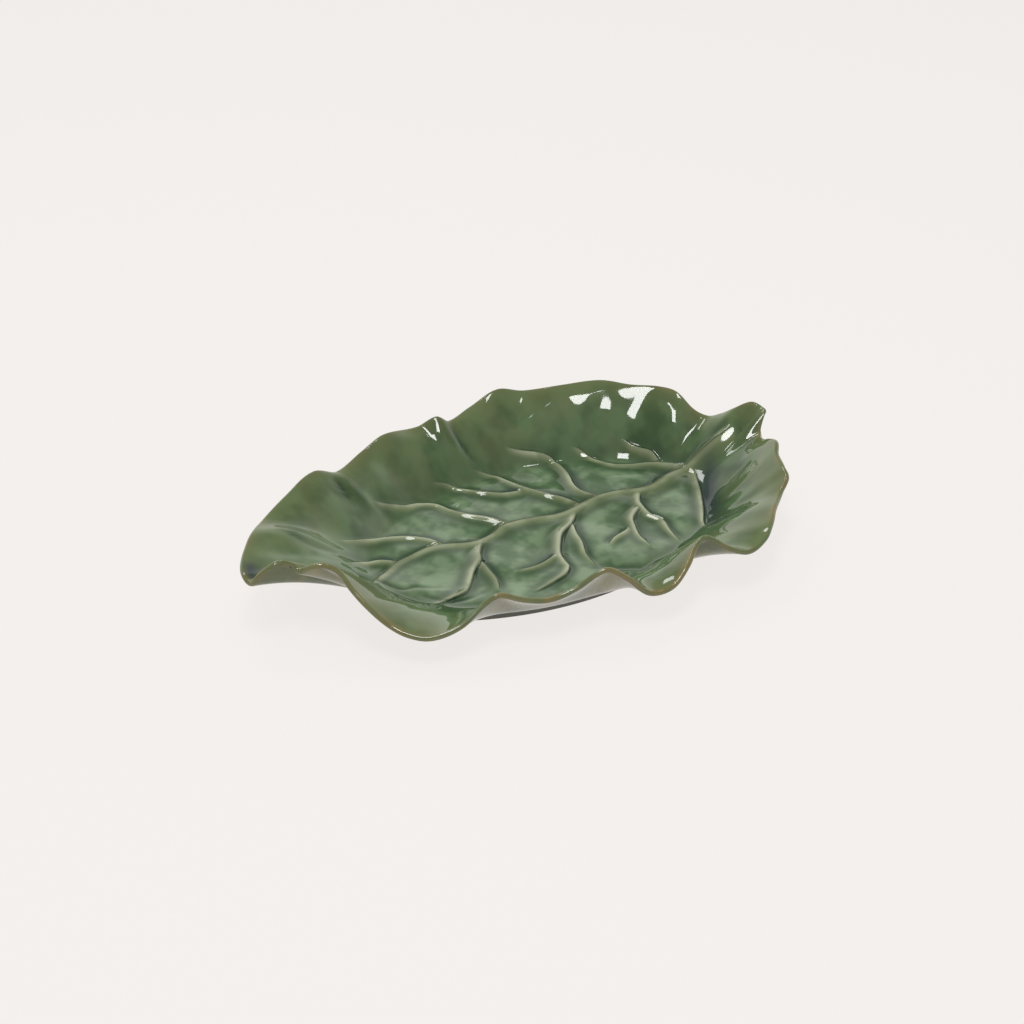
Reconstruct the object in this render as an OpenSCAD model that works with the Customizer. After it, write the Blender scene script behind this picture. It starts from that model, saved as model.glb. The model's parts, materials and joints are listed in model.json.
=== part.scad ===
// Serving plate in the form of a cabbage leaf, glazed stoneware on an oval foot ring.
// The leaf's tip points to -X and its stalk to +X, its far half lies at +Y, and the foot stands on Z = 0.

/* [Leaf] */
// Length of the oval that the ruffled rim wanders about
leaf_length = 297; // [260:1:360]
// Width of the oval that the ruffled rim wanders about
leaf_width = 187; // [165:1:230]
// Height of the tallest possible ruffle above the table
leaf_height = 45; // [36:0.5:60]
// Thickness of the floor, and of the wall where it leaves the floor
wall = 4.5; // [3:0.1:6]
// Thickness of the wall at its rounded lip
lip = 2.8; // [2:0.1:4]
// Size of the cove between the floor and the wall
cove = 7; // [3:0.5:14]

/* [Foot] */
// Length of the foot ring, outside
foot_length = 184; // [150:1:200]
// Width of the foot ring, outside
foot_width = 112; // [98:1:120]
// Radius of the foot ring's round ends, outside
foot_end = 44; // [36:1:46]
// Height of the foot ring
foot_height = 6; // [5:0.5:10]
// Thickness of the foot ring
foot_wall = 6; // [4:0.5:9]
// Rebate turned on both edges of the tread, where the glaze is wiped off
foot_rebate = 0.8; // [0.4:0.1:1.2]
// Flat margin of the blade's underside around the foot ring
foot_margin = 2.5; // [1:0.5:4]
// How far the foot sits from the middle of the leaf, towards the stalk
foot_shift = 12; // [6:1:16]

/* [Veins] */
// Width of the midrib at the stalk
midrib_width = 9; // [6:0.5:12]
// Height of the midrib at the stalk
midrib_height = 3.6; // [2:0.2:5]
// Width of a side vein at its root
vein_width = 4.6; // [3:0.2:6]
// Height of a side vein at its root
vein_height = 2; // [1:0.1:3]
// Width of a fork at its root
fork_width = 3.6; // [2.4:0.2:5]
// Height of a fork at its root
fork_height = 1.6; // [0.8:0.1:2.4]
// Width at which every vein runs out
vein_tip = 1.2; // [0.8:0.1:2]
// Thickness of a vein along its feathered edges
vein_edge = 0.3; // [0.2:0.05:0.5]
// Slip joint between a vein and what it is laid on or against
slip = 0.3; // [0.2:0.05:0.5]

/* [Hidden] */
half_l = leaf_length / 2;
half_w = leaf_width / 2;
well_l = foot_length / 2 + foot_margin;
well_w = foot_width / 2 + foot_margin;
floor_z = foot_height + wall;
rise = leaf_height - floor_z;

// Crests and troughs of the rim, counter-clockwise from the stalk: bearing on the oval in degrees,
// reach as a percentage of the oval's half axes, and lift as a percentage of the tallest ruffle.
RIM = [
    [1, 91, 95], [5, 87.5, 83], [10, 86.5, 68], [15, 85.5, 59], [20, 84, 68], [28, 87, 86],
    [34, 88.5, 89], [43, 89.5, 89], [52, 93, 93], [62, 95.5, 87], [71, 100, 81], [77, 101, 90],
    [84, 96.5, 78], [91, 89.5, 75], [94, 90.5, 87], [98, 94.5, 75], [108, 93, 87], [115, 93, 77],
    [125, 92, 72], [130, 96, 87], [140, 98.5, 81], [150, 102.5, 74], [158, 104.5, 80],
    [164, 106.5, 78], [171, 109.5, 74], [175, 110.3, 71], [178, 109.5, 68], [179.5, 107, 83],
    [181, 102, 96], [183, 98, 92], [185, 96.5, 84], [187, 95.5, 91], [190, 92, 96], [194, 89.5, 88],
    [200, 90.5, 68], [206, 92.5, 51], [212, 94, 32], [218, 96, 22], [223, 96, 19.5], [228, 92, 28.5],
    [232, 86, 48], [236, 84.5, 59], [242, 85, 48], [248, 85.5, 42], [254, 85.5, 51], [259, 86.5, 68],
    [262, 88, 71], [266, 92, 54], [270, 96.5, 28], [274, 99.5, 30], [278, 97.5, 48], [283, 92, 65],
    [286, 93, 71], [289, 101, 51], [292, 106, 40], [296, 107, 46], [300, 104.5, 54], [306, 100, 59],
    [313, 97.5, 62], [317, 97.8, 74], [321, 94.5, 80], [328, 90.5, 83], [334, 90, 88],
    [339, 88.5, 81], [345, 87.5, 68], [351, 89, 65], [354, 92.5, 88], [357, 93, 92]
];
// Bearings over which the rim is averaged to get the calm wall under its ruffles
CALM = [-24, -12, 0, 12, 24];
// How fast a ruffle dies away down the wall, as a power of the share of the way up
RUFFLE_POWER = 2.2;
// How far the wall bulges over the straight line from its cove to its lip: 0 is straight
BELLY = 0.5;
// Mesh steps between two rim knots, up the wall, and round the lip
KNOT_STEPS = 3;
WALL_STEPS = 9;
LIP_STEPS = 3;
// How the steps up the wall crowd into the cove, as a power: 1 spreads them evenly
CROWD_POWER = 1.3;

// Midrib from the stalk to the tip, as percentages of the oval's half axes from the foot's centre
MIDRIB = [
    [85, -1], [75, 3.5], [68, 6.5], [60, 7], [49, 3], [41, 4], [34, 7.5], [27, 9], [19, 7.5], [9, 6],
    [-5, 11.5], [-12, 12], [-17, 9], [-25, 8.5], [-36, 14], [-45, 15], [-53, 14],
    [-59, 9], [-64, 5], [-70, -2]
];
// Side veins and forks: name, the rib that each grows from, how far along it (0 to 1), and the points it runs
// through, as percentages like the midrib's. One that grows from none starts at its own first point.
VEINS = [
    ["far_vein_1", "midrib", 0.11, [[63, 17], [58, 25], [52, 30], [47, 36], [44, 44], [41, 54], [38, 60]]],
    ["far_vein_2", "midrib", 0.35, [[26, 19], [26, 29], [29, 42], [30, 55], [28, 62], [19, 70], [15, 74]]],
    ["far_vein_3", "midrib", 0.415, [[17, 18], [14, 26], [10, 44], [8, 54], [6, 63], [-1, 70]]],
    ["far_vein_4", "midrib", 0.55, [
        [-12, 23], [-17, 33], [-20, 43], [-22, 53], [-27, 58], [-34, 58], [-47, 60]
    ]],
    ["far_vein_5", "midrib", 0.73, [[-38, 25], [-42, 33], [-48, 37], [-54, 38], [-67, 37]]],
    ["near_vein_1", "midrib", 0.11, [[64, -6], [59, -20], [53, -34], [48, -44], [45, -54]]],
    ["near_vein_2", "midrib", 0.247, [[39, -4], [37, -12], [36, -21], [37, -30], [35, -42], [34, -54]]],
    ["near_vein_3", "midrib", 0.43, [
        [10, -4], [3, -11], [-1, -18], [-5, -27], [-7, -36], [-8, -42], [-12, -47], [-19, -49], [-26, -51]
    ]],
    ["near_vein_4", "midrib", 0.665, [
        [-27, -2], [-30, -10], [-35, -16], [-39, -23], [-44, -31], [-50, -33], [-59, -32]
    ]],
    ["far_fork_1", "far_vein_1", 0.2, [[61, 29], [59, 35], [57, 40], [55, 46]]],
    ["far_fork_3", "far_vein_3", 0.46, [[8, 40], [1, 43], [-4, 50], [-8, 60], [-12, 66], [-18, 68]]],
    ["near_fork_2", "near_vein_2", 0.3, [[30, -18], [27, -26], [24, -38], [23, -52]]],
    ["near_fork_3", "near_vein_3", 0.1, [[7, -15], [5, -25], [2, -36], [1, -49]]],
    ["near_spur_3", "near_vein_3", 0.44, [[-11, -30], [-17, -31], [-24, -29]]],
    ["near_fork_4", "near_vein_4", 0.29, [[-31, -21], [-32, -31], [-35, -41]]],
    ["near_spur_2", "", 0, [[22, -28], [16, -31], [12, -35]]],
    ["tip_vein", "midrib", 0.84, [[-58, 20], [-64, 21], [-70, 19]]]
];
// Half section of a rib's rounded back: place across the rib and share of its height
CROWN = [[1, 0], [0.6, 0.62], [0.2, 0.97], [-0.2, 0.97], [-0.6, 0.62], [-1, 0]];
// How slowly a rib tapers along its length, as a power: 1 is a straight taper
TAPER_POWER = 0.6;
// Mesh steps between two points of a vein
VEIN_STEPS = 2;

// Cubic from a to b at share u of the way, leaving along ta and arriving along tb
function cubic(a, b, ta, tb, u) =
    (2 * u ^ 3 - 3 * u ^ 2 + 1) * a + (u ^ 3 - 2 * u ^ 2 + u) * ta
    + (3 * u ^ 2 - 2 * u ^ 3) * b + (u ^ 3 - u ^ 2) * tb;

function unit(v) = v / norm(v);

// Rim knot i, counted on past a full turn either way
function knot(i) = let (turn = floor(i / len(RIM))) RIM[i - turn * len(RIM)] + [360 * turn, 0, 0];

// Slope of the rim at knot i, from its two neighbours
function knot_slope(i) = let (a = knot(i - 1), b = knot(i + 1)) (b - a) / (b[0] - a[0]);

// Rim at a bearing, as [bearing, reach, lift]: a cubic between the knots on either side
function rim(bearing) =
    let (
        t = bearing - 360 * floor(bearing / 360),
        i = max([for (k = [-1 : len(RIM) - 1]) if (knot(k)[0] <= t) k]),
        span = knot(i + 1)[0] - knot(i)[0]
    )
    cubic(knot(i), knot(i + 1), knot_slope(i) * span, knot_slope(i + 1) * span, (t - knot(i)[0]) / span);

// One bearing's wall: [bearing, reach at the rim, lift at the rim, calm lift, reach at the well's edge,
// cove as a share of the wall's run]
function ray(bearing) =
    let (
        r = rim(bearing),
        calm = [for (c = CALM) rim(bearing + c)[2]] * [for (c = CALM) 1 / len(CALM)],
        axes = [half_l * cos(bearing), half_w * sin(bearing)],
        well = 1 / norm([axes[0] / well_l, axes[1] / well_w])
    )
    [bearing, r[1] / 100, r[2] / 100, calm / 100, well, cove / ((r[1] / 100 - well) * norm(axes))];

// Share of the way from the well's edge to the rim at mesh step k
function wall_share(k) = (k / WALL_STEPS) ^ CROWD_POWER;

// Height of the upper face on a ray, at share s of the way from the well's edge to the rim:
// a cove that turns into a flaring wall, with the ruffles growing towards the rim
function wall_z(q, s) =
    let (
        line = (norm([s, q[5]]) - q[5]) / (norm([1, q[5]]) - q[5]),
        climb = line + BELLY * line * (1 - line)
    )
    floor_z + rise * (q[3] * climb + (q[2] - q[3]) * s ^ RUFFLE_POWER);

function upper(q, s) =
    let (reach = q[4] + (q[1] - q[4]) * s)
    [foot_shift + half_l * reach * cos(q[0]), half_w * reach * sin(q[0]), wall_z(q, s)];

// Height of the upper face over any point of the plan
function surface_z(p) =
    let (
        u = (p[0] - foot_shift) / half_l,
        v = p[1] / half_w,
        q = ray(atan2(v, u))
    )
    wall_z(q, max(0, min(1, (norm([u, v]) - q[4]) / (q[1] - q[4]))));

// Triangles of a tube of rings, n points to a ring, that starts at point number first
function tube(rings, n, first) = [
    for (r = [0 : rings - 2]) for (j = [0 : n - 1])
        let (a = first + r * n + j, b = first + r * n + (j + 1) % n)
        each [[a, b, b + n], [a, b + n, a + n]]
];

// Plan of a vein: a smooth line through its points, as [x, y]
function smooth_line(pts) = [
    for (i = [0 : len(pts) - 2]) for (k = [0 : VEIN_STEPS - (i < len(pts) - 2 ? 1 : 0)])
        cubic(pts[i], pts[i + 1], lean(pts, i), lean(pts, i + 1), k / VEIN_STEPS)
];

// Direction of a vein at its point i, from that point's neighbours
function lean(pts, i) =
    let (a = max(0, i - 1), b = min(len(pts) - 1, i + 1))
    (pts[b] - pts[a]) / (b - a);

function on_plan(shares) = [for (p = shares) [foot_shift + half_l * p[0] / 100, half_w * p[1] / 100]];

function vein_named(name) = [for (v = VEINS) if (v[0] == name) v][0];

// A vein that grows from the midrib is a side vein, unless it grows close to the tip. All others are forks.
function is_side_vein(v) = v[1] == "midrib" && v[2] < 0.8;

// A rib's size: [width at its root, height at its root]
function rib_size(name) =
    name == "midrib" ? [midrib_width, midrib_height]
    : is_side_vein(vein_named(name)) ? [vein_width, vein_height]
    : [fork_width, fork_height];

// How much of a rib's stoutness is left at a share of its length
function taper(share) = (1 - share) ^ TAPER_POWER;

function rib_half_width(name, share) = (vein_tip + (rib_size(name)[0] - vein_tip) * taper(share)) / 2;

// Place and direction on a rib at a share of its length: [point, unit direction]
function rib_spot(name, share) =
    let (
        line = rib_line(name),
        at = share * (len(line) - 1),
        i = min(len(line) - 2, floor(at)),
        step = line[i + 1] - line[i]
    )
    [line[i] + step * (at - i), unit(step)];

// Where a vein leaves the flank of the rib that it grows from: [point, direction along that flank]
function root_spot(v) =
    let (
        spot = rib_spot(v[1], v[2]),
        left = [-spot[1][1], spot[1][0]],
        side = sign(left * (on_plan(v[3])[0] - spot[0]))
    )
    [spot[0] + side * left * (rib_half_width(v[1], v[2]) + slip), side * spot[1]];

function rib_line(name) =
    name == "midrib" ? smooth_line(on_plan(MIDRIB))
    : let (v = vein_named(name))
      smooth_line(concat(v[1] == "" ? [] : [root_spot(v)[0]], on_plan(v[3])));

// Left-hand direction across a rib at station i, drawn out at a root, to twice the width at most, so that its
// end lies along the flank of the rib that it grows from
function across(line, i, flank) =
    let (
        a = line[max(0, i - 1)],
        b = line[min(len(line) - 1, i + 1)],
        along = unit(b - a),
        left = [-along[1], along[0]]
    )
    i > 0 || is_undef(flank) ? left : flank * sign(flank * left) / max(0.5, abs(flank * left));

// A rib of clay laid on the blade: its underside follows the blade, and its rounded back sinks to the
// thickness of its edges at its far end
module rib(name, flank) {
    line = rib_line(name);
    size = rib_size(name);
    last = len(line) - 1;
    under = [-1, 0, 1];
    n = len(under) + len(CROWN);
    points = [
        for (i = [0 : last])
            let (
                reach = across(line, i, flank) * rib_half_width(name, i / last),
                back = vein_edge + (size[1] - vein_edge) * taper(i / last)
            )
            each concat(
                [for (a = under) let (p = line[i] + reach * a) [p[0], p[1], surface_z(p) + slip]],
                [for (c = CROWN)
                    let (p = line[i] + reach * c[0])
                    [p[0], p[1], surface_z(p) + slip + vein_edge + back * c[1]]]
            )
    ];
    apex = len(under) + 2;
    cap = [for (k = [1 : n - 2]) [apex, (apex + k) % n, (apex + k + 1) % n]];
    polyhedron(
        points,
        concat(
            [for (f = tube(last + 1, n, 0)) [f[0], f[2], f[1]]],
            cap,
            [for (f = cap) [f[0], f[2], f[1]] + [1, 1, 1] * last * n]
        )
    );
}

// The thin body of the leaf: flat floor, coved wall, ruffled and rounded lip, and an underside that
// follows the wall and is flat over the foot ring
module leaf_blade() {
    rays = [
        for (i = [0 : len(RIM) - 1]) for (k = [0 : KNOT_STEPS - 1])
            ray(knot(i)[0] + (knot(i + 1)[0] - knot(i)[0]) * k / KNOT_STEPS)
    ];
    n = len(rays);
    top = [for (k = [0 : WALL_STEPS]) [for (q = rays) upper(q, wall_share(k))]];
    normal = [
        for (k = [0 : WALL_STEPS]) [
            for (j = [0 : n - 1])
                unit(cross(
                    top[min(WALL_STEPS, k + 1)][j] - top[max(0, k - 1)][j],
                    top[k][(j + 1) % n] - top[k][(j + n - 1) % n]
                ))
        ]
    ];
    outward = [for (j = [0 : n - 1]) unit(top[WALL_STEPS][j] - top[WALL_STEPS - 1][j])];
    lip_rings = [
        for (k = [1 : LIP_STEPS - 1]) [
            for (j = [0 : n - 1])
                let (
                    turn = 180 * k / LIP_STEPS,
                    inward = normal[WALL_STEPS][j] * (cos(turn) - 1)
                )
                top[WALL_STEPS][j] + lip / 2 * (inward + outward[j] * sin(turn))
        ]
    ];
    bottom = [
        for (k = [WALL_STEPS : -1 : 1]) [
            for (j = [0 : n - 1]) top[k][j] - normal[k][j] * (wall + (lip - wall) * wall_share(k))
        ]
    ];
    seat = [for (p = top[0]) [p[0], p[1], foot_height]];
    rings = concat(top, lip_rings, bottom, [seat]);
    points = concat([[foot_shift, 0, floor_z]], [for (r = rings) each r], [[foot_shift, 0, foot_height]]);
    end = len(points) - 1;
    color("#4f6b46")
        polyhedron(
            points,
            concat(
                [for (j = [0 : n - 1]) [0, 1 + (j + 1) % n, 1 + j]],
                tube(len(rings), n, 1),
                [for (j = [0 : n - 1]) [end, end - n + j, end - n + (j + 1) % n]]
            )
        );
}

// A four-centred oval: two end arcs and two side arcs that run into each other smoothly
module foot_oval(inset) {
    end_x = foot_length / 2 - foot_end;
    spare = foot_width / 2 - foot_end;
    side_y = (end_x ^ 2 - spare ^ 2) / (2 * spare);
    side_r = foot_width / 2 + side_y - inset;
    end_r = foot_end - inset;
    meet_x = end_x + end_r * cos(atan2(side_y, end_x));
    for (side = [-1, 1])
        translate([side * end_x, 0])
            circle(end_r, $fn = 64);
    intersection() {
        translate([0, -side_y])
            circle(side_r, $fn = 128);
        translate([0, side_y])
            circle(side_r, $fn = 128);
        square([2 * meet_x, foot_width], center = true);
    }
}

// A band of the foot ring, set in from its outer and inner sides
module foot_band(inset, height)
    linear_extrude(height)
        difference() {
            foot_oval(inset);
            foot_oval(foot_wall - inset);
        }

// The foot ring: a plain oval wall, seated flat against the blade, with its tread's edges turned away
module foot_ring()
    color("#55554d")
        translate([foot_shift, 0, 0]) {
            foot_band(foot_rebate, foot_rebate);
            translate([0, 0, foot_rebate])
                foot_band(0, foot_height - foot_rebate);
        }

module midrib() color("#9aa074") rib("midrib", undef);

module side_vein(v) color("#8d9a68") rib(v[0], v[1] == "" ? undef : root_spot(v)[1]);

leaf_blade();
foot_ring();
midrib();
for (v = VEINS) side_vein(v);
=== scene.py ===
"""Looks of a leaf shaped serving plate: a ruffled glazed blade, its raised veins and its oval foot ring.

Sizes are in millimetres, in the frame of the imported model: the leaf's tip points to -X, its stalk to +X, and the
foot stands on Z = 0. Meshes are written in metres.
"""

import json
import logging
from dataclasses import dataclass
from enum import Enum
from typing import Any

import bpy
import numpy as np
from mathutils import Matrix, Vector

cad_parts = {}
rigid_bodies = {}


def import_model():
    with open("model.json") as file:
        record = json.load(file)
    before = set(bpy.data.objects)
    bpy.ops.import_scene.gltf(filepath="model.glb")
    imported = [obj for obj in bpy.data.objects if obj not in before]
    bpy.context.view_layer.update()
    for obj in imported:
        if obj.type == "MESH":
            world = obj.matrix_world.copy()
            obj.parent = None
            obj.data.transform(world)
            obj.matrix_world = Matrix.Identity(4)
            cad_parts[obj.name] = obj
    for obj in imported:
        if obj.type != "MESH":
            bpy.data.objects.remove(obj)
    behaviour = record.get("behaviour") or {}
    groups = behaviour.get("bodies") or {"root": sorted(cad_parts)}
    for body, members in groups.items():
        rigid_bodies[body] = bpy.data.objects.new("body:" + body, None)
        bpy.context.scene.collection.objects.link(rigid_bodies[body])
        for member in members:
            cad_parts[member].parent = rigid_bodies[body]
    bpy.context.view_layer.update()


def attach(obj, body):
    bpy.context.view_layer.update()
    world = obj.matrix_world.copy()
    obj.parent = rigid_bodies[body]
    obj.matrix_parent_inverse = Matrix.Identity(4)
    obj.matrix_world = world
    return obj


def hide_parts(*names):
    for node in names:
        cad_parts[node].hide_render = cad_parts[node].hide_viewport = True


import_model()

Array = np.ndarray
Points = tuple[tuple[float, float], ...]
Span = tuple[float, float]
Way = tuple[float, float, float]
Waves = tuple[tuple[float, float, float, float], ...]
Tree, Socket = bpy.types.NodeTree, bpy.types.NodeSocket
MM = 0.001
log = logging.getLogger("leaf_plate")

# Crests and troughs of the rim, counter-clockwise from the stalk: bearing on the oval in degrees,
# reach as a percentage of the oval's half axes, and lift as a percentage of the tallest ruffle
RIM = np.array((
    (1, 91, 95), (5, 87.5, 83), (10, 86.5, 68), (15, 85.5, 59), (20, 84, 68), (28, 87, 86), (34, 88.5, 89),
    (43, 89.5, 89), (52, 93, 93), (62, 95.5, 87), (71, 100, 81), (77, 101, 90), (84, 96.5, 78), (91, 89.5, 75),
    (94, 90.5, 87), (98, 94.5, 75), (108, 93, 87), (115, 93, 77), (125, 92, 72), (130, 96, 87),
    (140, 98.5, 81), (150, 102.5, 74), (158, 104.5, 80), (164, 106.5, 78), (171, 109.5, 74), (175, 110.3, 71),
    (178, 109.5, 68), (179.5, 107, 83), (181, 102, 96), (183, 98, 92), (185, 96.5, 84), (187, 95.5, 91),
    (190, 92, 96), (194, 89.5, 88), (200, 90.5, 68), (206, 92.5, 51), (212, 94, 32), (218, 96, 22),
    (223, 96, 19.5), (228, 92, 28.5), (232, 86, 48), (236, 84.5, 59), (242, 85, 48), (248, 85.5, 42),
    (254, 85.5, 51), (259, 86.5, 68), (262, 88, 71), (266, 92, 54), (270, 96.5, 28), (274, 99.5, 30),
    (278, 97.5, 48), (283, 92, 65), (286, 93, 71), (289, 101, 51), (292, 106, 40), (296, 107, 46),
    (300, 104.5, 54), (306, 100, 59), (313, 97.5, 62), (317, 97.8, 74), (321, 94.5, 80), (328, 90.5, 83),
    (334, 90, 88), (339, 88.5, 81), (345, 87.5, 68), (351, 89, 65), (354, 92.5, 88), (357, 93, 92),
), float)


class Rank(Enum):
    """How stout a rib is: its width and its height at the root, in millimetres."""

    MIDRIB = (9.0, 3.6)
    SIDE = (4.6, 2.0)
    FORK = (3.6, 1.6)


class Crisp(Enum):
    """The side of a rib, looking along it from its root, on which it drops to the blade in a crease.

    The veins of the leaf's far half are crisp on their right, and there the glaze pools blue-grey, laid on partly as
    painted shade.
    """

    LEFT = 1.0
    RIGHT = -1.0

    @property
    def slate_and_shade(self) -> float:
        """Share of blue-grey laid in the pooled glaze on this side, partly as painted shade."""
        return 0.55 if self is Crisp.RIGHT else 0.2


@dataclass(frozen=True)
class RibPlan:
    """Where one rib of the leaf runs.

    Its points are percentages of the oval's half axes, from the foot's centre. A rib with a parent starts on the
    parent's line, at a share of its length counted in knots.
    """

    name: str
    points: Points
    parent: str = ""
    share: float = 0.0
    rank: Rank = Rank.SIDE
    crisp: Crisp = Crisp.RIGHT


RIBS = (
    RibPlan("midrib", (
        (85, -1), (75, 3.5), (68, 6.5), (60, 7), (49, 3), (41, 4), (34, 7.5), (27, 9), (19, 7.5), (9, 6), (-5, 11.5),
        (-12, 12), (-17, 9), (-25, 8.5), (-36, 14), (-45, 15), (-53, 14), (-59, 9), (-64, 5), (-70, -2)),
        rank=Rank.MIDRIB),
    RibPlan("far_vein_1", ((63, 17), (58, 25), (52, 30), (47, 36), (44, 44), (41, 54), (38, 60)), "midrib", 0.11),
    RibPlan("far_vein_2", ((26, 19), (26, 29), (29, 42), (30, 55), (28, 62), (19, 70), (15, 74)), "midrib", 0.35),
    RibPlan("far_vein_3", ((17, 18), (14, 26), (10, 44), (8, 54), (6, 63), (-1, 70)), "midrib", 0.415),
    RibPlan("far_vein_4", (
        (-12, 23), (-17, 33), (-20, 43), (-22, 53), (-27, 58), (-34, 58), (-47, 60)), "midrib", 0.55),
    RibPlan("far_vein_5", ((-38, 25), (-42, 33), (-48, 37), (-54, 38), (-67, 37)), "midrib", 0.73),
    RibPlan("near_vein_1", ((64, -6), (59, -20), (53, -34), (48, -44), (45, -54)), "midrib", 0.11, crisp=Crisp.LEFT),
    RibPlan("near_vein_2", (
        (39, -4), (37, -12), (36, -21), (37, -30), (35, -42), (34, -54)), "midrib", 0.247, crisp=Crisp.LEFT),
    RibPlan("near_vein_3", (
        (10, -4), (3, -11), (-1, -18), (-5, -27), (-7, -36), (-8, -42), (-12, -47), (-19, -49), (-26, -51)),
        "midrib", 0.43, crisp=Crisp.LEFT),
    RibPlan("near_vein_4", (
        (-27, -2), (-30, -10), (-35, -16), (-39, -23), (-44, -31), (-50, -33), (-59, -32)),
        "midrib", 0.665, crisp=Crisp.LEFT),
    RibPlan("far_fork_1", ((61, 29), (59, 35), (57, 40), (55, 46)), "far_vein_1", 0.2, rank=Rank.FORK),
    RibPlan("far_fork_3", (
        (8, 40), (1, 43), (-4, 50), (-8, 60), (-12, 66), (-18, 68)), "far_vein_3", 0.46, rank=Rank.FORK),
    RibPlan("near_fork_2", (
        (30, -18), (27, -26), (24, -38), (23, -52)), "near_vein_2", 0.3, rank=Rank.FORK, crisp=Crisp.LEFT),
    RibPlan("near_fork_3", (
        (7, -15), (5, -25), (2, -36), (1, -49)), "near_vein_3", 0.1, rank=Rank.FORK, crisp=Crisp.LEFT),
    RibPlan("near_spur_3", ((-11, -30), (-17, -31), (-24, -29)), "near_vein_3", 0.44, rank=Rank.FORK),
    RibPlan("near_fork_4", (
        (-31, -21), (-32, -31), (-35, -41)), "near_vein_4", 0.29, rank=Rank.FORK, crisp=Crisp.LEFT),
    RibPlan("near_spur_2", ((26.5, -23.5), (22, -28), (16, -31), (12, -35)), rank=Rank.FORK),
    RibPlan("tip_vein", ((-58, 20), (-64, 21), (-70, 19)), "midrib", 0.84, rank=Rank.FORK),
)


@dataclass(frozen=True)
class Crease:
    """A fold in the blade without a rib.

    Its points are percentages like a rib's. Depth and reach are in millimetres, and a negative depth makes a ridge.
    The last three are the shares along it of blue-grey pooled glaze, of a dark line and of pooled glaze; all three
    are partly painted shade.
    """

    points: Points
    depth: float
    reach: float
    slate_and_shade: float = 0.0
    line: float = 0.0
    pool: float = 0.0

    ENDS = (0.02, 0.98)
    FADE_POWER = 0.6
    SHADE_LINE_POWER = 3

    def marks(self, line: Array, spots: Array) -> dict[str, Array]:
        """Marks of the fold on the face: a bell curve of the distance from its line, which fades at its ends.

        Args:
            line: Its line as evenly spread plan points.
            spots: Plan points near it.

        Returns:
            The layers of the face at those points.
        """
        station, offset = nearest_on(line, spots)
        fade = np.sin(np.pi * np.clip(station / (len(line) - 1), *self.ENDS)) ** self.FADE_POWER
        dip = fade * bell(np.linalg.norm(offset, axis=-1), self.reach)
        # The dark line, the pooled glaze and the blue-grey along a fold are partly painted shade
        return {"groove": self.depth * dip, "swell": -self.depth * dip, "slate_and_shade": self.slate_and_shade * dip,
                "line": self.line * dip**self.SHADE_LINE_POWER, "pool": self.pool * dip}


CREASES = (
    # Painted shade, partly pooled glaze: dark lines at the floor's end by the tip, and below the front lobe
    Crease(((-73, 20), (-70, 14), (-65, 4), (-61, -10), (-56, -13), (-52, -18), (-47, -24)), 0.4, 1.5, line=0.7),
    Crease(((-58, -18), (-54, -30), (-50, -36), (-45, -38), (-37, -36)), 0.4, 1.5, line=0.7),
    # Pinched folds of the far wall, darkened along them as painted shade, with the ridges beside them
    Crease(((-89, 42), (-85, 35), (-79, 29), (-71, 26)), 0.5, 2.5, slate_and_shade=0.1, line=0.3),
    Crease(((-93, 49), (-88, 42), (-82, 36), (-74, 33)), -0.8, 3.0),
    Crease(((-57, 71), (-55, 66), (-54, 59)), 1.2, 1.6, slate_and_shade=0.3, line=0.6),
    Crease(((-52, 72), (-51, 66), (-48, 60), (-44, 53)), -0.9, 3.0),
    Crease(((-3, 91), (-2, 82), (0, 76), (4, 70)), 0.6, 1.8, slate_and_shade=0.1, line=0.5),
    Crease(((-9, 91), (-8, 82), (-6, 76), (-2, 70)), -0.9, 3.5),
    Crease(((3, 88), (9, 83), (15, 77), (19, 71)), -0.8, 3.5),
    # Blue-grey troughs beside the first near vein, in the tip's spout and below the stalk: pooled glaze and painted
    # shade
    Crease(((74, 6), (70, -5), (66, -14), (61, -24), (55, -38), (47, -57)), 0.8, 5.5, slate_and_shade=0.95),
    Crease(((-111, 4), (-108, 11), (-104, 17)), 0.5, 5.5, slate_and_shade=1.0),
    Crease(((87, -13), (77, -20), (67, -27)), 0.5, 4.0, slate_and_shade=0.3),
    # A low ridge of the floor between two far veins, and a pocket in the near cove darkened as pooled glaze and
    # painted shade
    Crease(((37, 56), (38, 49), (37, 38), (38, 29), (40, 23)), -0.7, 3.5),
    Crease(((1, -45), (4, -52), (8, -57), (12, -62), (10, -74)), 1.3, 5.0, pool=0.9),
)


@dataclass(frozen=True)
class Band:
    """A soft band of form or glaze: how far its middle lies from where it is counted, its reach, and its share."""

    middle: float
    reach: float
    share: float = 1.0

    def at(self, distance: Array) -> Array:
        """The band's share at distances, by a bell curve."""
        return self.share * bell(distance - self.middle, self.reach)


def smooth_line(places: Array, knots: Array, at: Array) -> Array:
    """A smooth line through knots: a cubic between each two, which leans at each knot along its neighbours.

    Args:
        places: Where the knots lie on the line, rising.
        knots: Their values, one to a row.
        at: Places to read the line at.

    Returns:
        The values at those places.
    """
    number = np.arange(len(knots))
    before, after = np.maximum(number - 1, 0), np.minimum(number + 1, len(knots) - 1)
    lean = (knots[after] - knots[before]) / (places[after] - places[before])[:, None]
    i = np.clip(np.searchsorted(places, at, side="right") - 1, 0, len(knots) - 2)
    span = (places[i + 1] - places[i])[..., None]
    u = (at - places[i])[..., None] / span
    return ((2 * u**3 - 3 * u**2 + 1) * knots[i] + (u**3 - 2 * u**2 + u) * (lean[i] * span)
            + (3 * u**2 - 2 * u**3) * knots[i + 1] + (u**3 - u**2) * (lean[i + 1] * span))


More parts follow.
